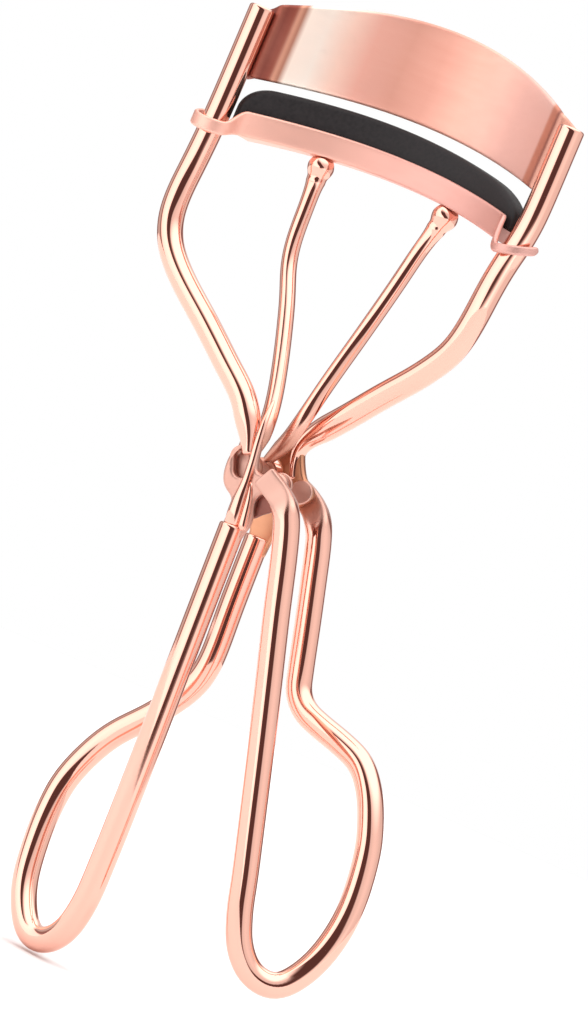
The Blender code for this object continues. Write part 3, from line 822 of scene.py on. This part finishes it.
def carve(mesh, cutters):
    """The mesh with the cutters' shapes taken out."""
    obj = add_object("carved", mesh)
    for cutter in cutters:
        modifier = obj.modifiers.new("carve", "BOOLEAN")
        modifier.operation = "DIFFERENCE"
        modifier.solver = "EXACT"
        modifier.object = cutter
    bpy.context.view_layer.update()
    out = bpy.data.meshes.new_from_object(obj.evaluated_get(bpy.context.evaluated_depsgraph_get()))
    bpy.data.objects.remove(obj, do_unlink=True)
    return out


def lower_bar():
    """The sliding bar: its front wall with the hooks, its channel, and the hollows for the balls."""
    sockets = [socket(-1), socket(1)]
    meshes = [carve(front_strip(), sockets), carve(channel(), sockets)]
    for cutter in sockets:
        bpy.data.objects.remove(cutter, do_unlink=True)
    return join("lower_bar_fine", meshes)


def pad():
    """A crowned silicone strip that stands in the channel and tapers at its ends."""
    middle = 0.5 * (BAR_IN + BAR_OUT)
    side = 0.5 * (BAR_OUT - BAR_IN) - BAR_WALL - PAD_GAP
    low, high = (math.asin(x / middle) for x in PAD_ENDS)
    rings = []
    for t in np.sin(np.linspace(-0.5 * math.pi, 0.5 * math.pi, 130)):
        a = 0.5 * (low + high) + 0.5 * (high - low) * t
        x = middle * math.sin(a)
        taper, power = PAD_LEFT if x < 0 else PAD_RIGHT
        gone = max(0.0, 1.0 - min(x - PAD_ENDS[0], PAD_ENDS[1] - x) / taper)
        tall = (PAD_TALL - PAD_FALL * x) * (0.1 + 0.9 * math.sqrt(max(0.0, 1.0 - gone**power)))
        wide = side * (0.35 + 0.65 * math.sqrt(max(0.0, 1.0 - gone**4)))
        base = bowed(x, BAR_TOP, BAR_BOW)
        ring = []
        for r, z in pad_section(wide, tall):
            reach = middle + r
            ring.append((HEAD_X + reach * math.sin(a), ARC_CENTRE_Y + reach * math.cos(a), base + z))
        rings.append(ring)
    return join("pad_fine", [rings_mesh(rings)])


def pad_section(wide, tall):
    """Distance from the pad's middle line and height over the bar's top, round the pad."""
    foot = 0.32 - GROOVE_DEPTH
    crown = min(0.8, 0.5 * tall)
    out = [(-wide, foot), (wide, foot), (wide, -0.6), (wide, 0.0), (wide, 0.5 * (tall - crown))]
    for a in np.linspace(0.0, math.pi, 17):
        u, v = math.cos(a), math.sin(a)
        out.append((wide * math.copysign(abs(u) ** 0.6, u), tall - crown + crown * abs(v) ** 0.8))
    return out + [(-wide, 0.5 * (tall - crown)), (-wide, 0.0), (-wide, -0.6)]


# ---------------------------------------------------------------- materials


def new_material(name):
    mat = bpy.data.materials.new(name)
    mat.use_nodes = True
    return mat, mat.node_tree, mat.node_tree.nodes["Principled BSDF"]


def noise(tree, scale, detail, stretch=(1, 1, 1)):
    coords = tree.nodes.new("ShaderNodeTexCoord")
    mapping = tree.nodes.new("ShaderNodeMapping")
    mapping.inputs["Scale"].default_value = stretch
    tree.links.new(coords.outputs["Object"], mapping.inputs["Vector"])
    texture = tree.nodes.new("ShaderNodeTexNoise")
    texture.inputs["Scale"].default_value = scale
    texture.inputs["Detail"].default_value = detail
    tree.links.new(mapping.outputs["Vector"], texture.inputs["Vector"])
    return texture.outputs["Fac"]


def map_range(tree, value, low, high, kind="LINEAR", to=(0.0, 1.0)):
    """Maps the range from low to high to another, by default from 0 to 1."""
    node = tree.nodes.new("ShaderNodeMapRange")
    node.interpolation_type = kind
    node.inputs["From Min"].default_value = low
    node.inputs["From Max"].default_value = high
    node.inputs["To Min"].default_value, node.inputs["To Max"].default_value = to
    tree.links.new(value, node.inputs["Value"])
    return node.outputs["Result"]


def spread(tree, value, low, high):
    """Maps a noise's middle range to two numbers."""
    return map_range(tree, value, 0.3, 0.7, to=(low, high))


def mixed(tree, factor, near, far, kind="RGBA"):
    """Goes from near to far with the factor. Either end is a socket or a value."""
    node = tree.nodes.new("ShaderNodeMix")
    node.data_type = kind
    tree.links.new(factor, node.inputs["Factor"])
    for name, value in (("A", near), ("B", far)):
        if isinstance(value, bpy.types.NodeSocket):
            tree.links.new(value, node.inputs[name])
        else:
            node.inputs[name].default_value = value
    return node.outputs["Result"]


def colour_ramp(tree, value, stops, kind="LINEAR"):
    """A colour by a number from 0 to 1. Stops are (position, colour)."""
    node = tree.nodes.new("ShaderNodeValToRGB")
    node.color_ramp.interpolation = kind
    elements = node.color_ramp.elements
    while len(elements) > 1:
        elements.remove(elements[-1])
    for i, (position, colour) in enumerate(stops):
        element = elements[0] if i == 0 else elements.new(position)
        element.position = position
        element.color = (*colour, 1)
    tree.links.new(value, node.inputs["Fac"])
    return node.outputs["Color"]


def across_head(tree):
    """From 0 at the left guide to 1 at the right guide."""
    coords = tree.nodes.new("ShaderNodeTexCoord")
    split = tree.nodes.new("ShaderNodeSeparateXYZ")
    tree.links.new(coords.outputs["Object"], split.inputs["Vector"])
    left, right = (HEAD_X - GUIDE_HALF) * MM, (HEAD_X + GUIDE_HALF) * MM
    return map_range(tree, split.outputs["X"], left, right)


def from_pivot(tree, near, far):
    """From 0 near the pivot's axis to 1 far from it, by two distances. It bounds the painted shade and the
    rougher finish near the pivot.
    """
    coords = tree.nodes.new("ShaderNodeTexCoord")
    flat = tree.nodes.new("ShaderNodeVectorMath")
    flat.operation = "MULTIPLY"
    flat.inputs[1].default_value = (1, 0, 1)
    tree.links.new(coords.outputs["Object"], flat.inputs[0])
    length = tree.nodes.new("ShaderNodeVectorMath")
    length.operation = "LENGTH"
    tree.links.new(flat.outputs["Vector"], length.inputs[0])
    return map_range(tree, length.outputs["Value"], near * MM, far * MM, "SMOOTHSTEP")


def relief(tree, shader, height, strength, distance):
    """A bump in the shader's surface."""
    node = tree.nodes.new("ShaderNodeBump")
    node.inputs["Strength"].default_value = strength
    node.inputs["Distance"].default_value = distance
    tree.links.new(height, node.inputs["Height"])
    tree.links.new(node.outputs["Normal"], shader.inputs["Normal"])


def rose_gold(name, rough, colour=ROSE, deep=ROSE_DEEP, grain=(1, 1, 1), bump=0.004, tones=None, satin_and_shade=None):
    """Plated metal: a little tone drift, micro-roughness, and faint drawing or rolling marks.

    Tones run across the head, and are painted reflections.
    Satin is the colour near the pivot, which is painted shade, and the two distances between which it ends.
    There the roughness is that of a pressed finish.
    """
    mat, tree, shader = new_material(name)
    tone = colour_ramp(tree, across_head(tree), tones) if tones else (*colour, 1)
    tone = mixed(tree, spread(tree, noise(tree, DRIFT, 2), 0.0, 0.3), tone, (*deep, 1))
    fine = noise(tree, GRAIN, 3, grain)
    polish = spread(tree, fine, rough * (1.0 - ROUGH_SPREAD), rough * (1.0 + ROUGH_SPREAD))
    # Near the pivot the colour is painted shade, and the roughness is that of a rougher pressed finish
    if satin_and_shade:
        near_colour, near, far = satin_and_shade
        zone = from_pivot(tree, near, far)
        tone = mixed(tree, zone, (*near_colour, 1), tone)
        polish = mixed(tree, zone, PRESSED_ROUGH, polish, "FLOAT")
    shader.inputs["Metallic"].default_value = 1.0
    tree.links.new(tone, shader.inputs["Base Color"])
    tree.links.new(polish, shader.inputs["Roughness"])
    relief(tree, shader, fine, bump, 0.01 * MM)
    return mat


def silicone():
    """Matte charcoal silicone with a fine moulded grain."""
    mat, tree, shader = new_material("silicone")
    grain = noise(tree, SILICONE_GRAIN, 5)
    tone = mixed(tree, spread(tree, grain, 0.0, 1.0), (*SILICONE, 1), (*SILICONE_PALE, 1))
    tree.links.new(tone, shader.inputs["Base Color"])
    tree.links.new(spread(tree, grain, 0.5, 0.68), shader.inputs["Roughness"])
    shader.inputs["Specular IOR Level"].default_value = 0.3
    relief(tree, shader, grain, 0.35, 0.04 * MM)
    return mat


# ---------------------------------------------------------------- camera, stage and light


def camera_axes():
    """Directions to the camera's right, to its top and from the object to the camera."""
    azimuth, elevation, roll = map(math.radians, (VIEW_AZIMUTH, VIEW_ELEVATION, VIEW_ROLL))
    level = math.cos(elevation)
    back = Vector((level * math.sin(azimuth), -level * math.cos(azimuth), math.sin(elevation)))
    right = Vector((math.cos(azimuth), math.sin(azimuth), 0.0))
    up = back.cross(right)
    across = right * math.cos(roll) - up * math.sin(roll)
    over = right * math.sin(roll) + up * math.cos(roll)
    return across, over, back


def camera():
    """The camera at its angles and distance from the target."""
    across, over, back = camera_axes()
    data = bpy.data.cameras.new("camera")
    data.sensor_width = SENSOR_WIDTH
    data.lens = LENS
    data.shift_x, data.shift_y = SHIFT
    data.clip_start = 0.01
    data.clip_end = 20.0
    obj = bpy.data.objects.new("camera", data)
    bpy.context.scene.collection.objects.link(obj)
    turn = Matrix((across, over, back)).transposed().to_4x4()
    turn.translation = place(*VIEW_TARGET) + back * VIEW_DISTANCE * MM
    obj.matrix_world = turn
    bpy.context.scene.camera = obj


def stage():
    """A round pale floor under the object."""
    bm = bmesh.new()
    bmesh.ops.create_circle(bm, cap_ends=True, segments=96, radius=FLOOR_R)
    mesh = bpy.data.meshes.new("floor")
    bm.to_mesh(mesh)
    bm.free()
    floor = add_object("floor", mesh)
    middle = 0.5 * (cad_low + cad_high)
    floor.location = (middle.x, middle.y, cad_low.z - 0.0001)
    mat, _, shader = new_material("pale_floor")
    shader.inputs["Base Color"].default_value = (0.93, 0.92, 0.92, 1)
    shader.inputs["Roughness"].default_value = 0.6
    shader.inputs["Specular IOR Level"].default_value = 0.2
    floor.data.materials.append(mat)


def dot(tree, vector, axis):
    """How far a direction goes along an axis."""
    node = tree.nodes.new("ShaderNodeVectorMath")
    node.operation = "DOT_PRODUCT"
    node.inputs[1].default_value = axis
    tree.links.new(vector, node.inputs[0])
    return node.outputs["Value"]


def maths(tree, operation, *values, clamp=False):
    """A Math node's output. Each value is a socket or a number."""
    node = tree.nodes.new("ShaderNodeMath")
    node.operation = operation
    node.use_clamp = clamp
    for socket_in, value in zip(node.inputs, values):
        if isinstance(value, (int, float)):
            socket_in.default_value = value
        else:
            tree.links.new(value, socket_in)
    return node.outputs["Value"]


def tent_ramp(tree, value, table):
    """Light by direction round the object. Dim light is warm, like the plating's own image."""
    stops = []
    for degrees, bright in table:
        warm = max(0.0, 1.0 - bright / 0.3)
        colour = (bright * (1.0 + 0.5 * warm), bright * (1.0 - 0.25 * warm), bright * (1.0 - 0.3 * warm))
        stops.append((0.5 + degrees / 360.0, colour))
    return colour_ramp(tree, value, stops, "EASE")


def tent_colour(tree):
    """A light tent: soft boxes left and right of the camera, a dark gap between them, and pale all round."""
    direction = tree.nodes.new("ShaderNodeTexCoord").outputs["Generated"]
    x, y, z = (dot(tree, direction, axis) for axis in camera_axes())
    height = maths(tree, "ARCSINE", y)
    lean = maths(tree, "MULTIPLY", maths(tree, "MAXIMUM", height, 0.0), 0.6)
    turn = maths(tree, "ADD", maths(tree, "ARCTAN2", x, z), lean)
    place_round = maths(tree, "MULTIPLY_ADD", turn, 0.5 / math.pi, 0.5, clamp=True)
    upper = tent_ramp(tree, place_round, UPPER_LIGHT)
    lower = tent_ramp(tree, place_round, LOWER_LIGHT)
    sides = mixed(tree, map_range(tree, height, -0.45, -0.1, "SMOOTHSTEP"), lower, upper)
    overhead = map_range(tree, dot(tree, direction, (0, 0, 1)), 0.55, 0.85, "SMOOTHSTEP")
    return mixed(tree, overhead, sides, (*OVERHEAD_LIGHT, 1))


def studio():
    """The tent lights the object, and the camera sees plain white behind it."""
    world = bpy.data.worlds.new("studio")
    bpy.context.scene.world = world
    world.use_nodes = True
    tree = world.node_tree
    tent = tree.nodes["Background"]
    tree.links.new(tent_colour(tree), tent.inputs["Color"])
    tent.inputs["Strength"].default_value = TENT_STRENGTH
    white = tree.nodes.new("ShaderNodeBackground")
    white.inputs["Color"].default_value = (1, 1, 1, 1)
    seen = tree.nodes.new("ShaderNodeLightPath").outputs["Is Camera Ray"]
    choose = tree.nodes.new("ShaderNodeMixShader")
    tree.links.new(seen, choose.inputs["Fac"])
    tree.links.new(tent.outputs["Background"], choose.inputs[1])
    tree.links.new(white.outputs["Background"], choose.inputs[2])
    tree.links.new(choose.outputs["Shader"], tree.nodes["World Output"].inputs["Surface"])


# ---------------------------------------------------------------- the object


def dress(obj, material, body, node):
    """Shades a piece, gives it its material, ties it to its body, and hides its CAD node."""
    shade(obj)
    obj.data.materials.clear()
    obj.data.materials.append(material)
    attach(obj, body)
    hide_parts(node)
    return obj


def build():
    polished = rose_gold("rose_gold_wire", 0.05, grain=DRAWN)
    # Near the pivot the handle's pressed arm takes the pressed colour, which is painted shade, and a rougher
    # finish.
    forged = rose_gold("rose_gold_forged", 0.05, grain=DRAWN, satin_and_shade=(PRESSED_SHADE, 2.2, 4.6))
    # Near the pivot the push rods take a darker colour, which is painted shade, and a rougher finish.
    rods = rose_gold("rose_gold_rod", 0.05, grain=DRAWN, satin_and_shade=(KNOT_SHADE, 3.4, 8.5))
    # The pressed pieces' darker colour is painted shade; their rougher finish is real.
    pressed = rose_gold("rose_gold_pressed_shade", PRESSED_ROUGH, PRESSED_SHADE, deep=(0.60, 0.32, 0.25), bump=0.02)
    # The rear blade's darker orange colour is painted shade.
    rear_blade_shade = rose_gold("rose_gold_rear_shade", 0.34, REAR_BLADE_SHADE, deep=(0.42, 0.17, 0.10), bump=0.03)
    shaded = rose_gold("rose_gold_web_shade", 0.4, WEB_SHADE, deep=(0.16, 0.06, 0.05), bump=0.02)
    sheet = rose_gold("rose_gold_sheet", 0.56, grain=ROLLED, bump=0.01, tones=PLATE_TONES)
    bar = rose_gold("rose_gold_bar", 0.5, deep=(0.76, 0.44, 0.355), grain=ROLLED, tones=BAR_TONES)
    rubber = silicone()
    dress(frame_wire(), polished, "frame", "frame_wire")
    dress(join("front_blade_fine", [front_blade()]), pressed, "frame", "frame_wire")
    dress(join("rear_blade_fine", [rear_blade()]), rear_blade_shade, "frame", "frame_wire")
    # The dark web behind the front blade is painted shade.
    dress(join("inner_fold_fine", [painted_shade_web()]), shaded, "frame", "frame_wire")
    dress(upper_plate(), sheet, "frame", "upper_plate")
    dress(lower_bar(), bar, "carriage", "lower_bar")
    soft = dress(pad(), rubber, "carriage", "pad")
    dress(handle_wire(), forged, "handle", "handle_wire")
    dress(push_rod(-1), rods, "push_left", "push_rod_left")
    dress(push_rod(1), rods, "push_right", "push_rod_right")
    dress(pivot_rivet(-1), pressed, "frame", "pivot_rivet_front")
    dress(pivot_rivet(1), pressed, "frame", "pivot_rivet_rear")
    dress(link_pin(), pressed, "handle", "link_pin")
    dress(link_spacer(), pressed, "handle", "link_spacer")


build()
camera()
stage()
studio()
bpy.context.scene.view_settings.view_transform = "Standard"
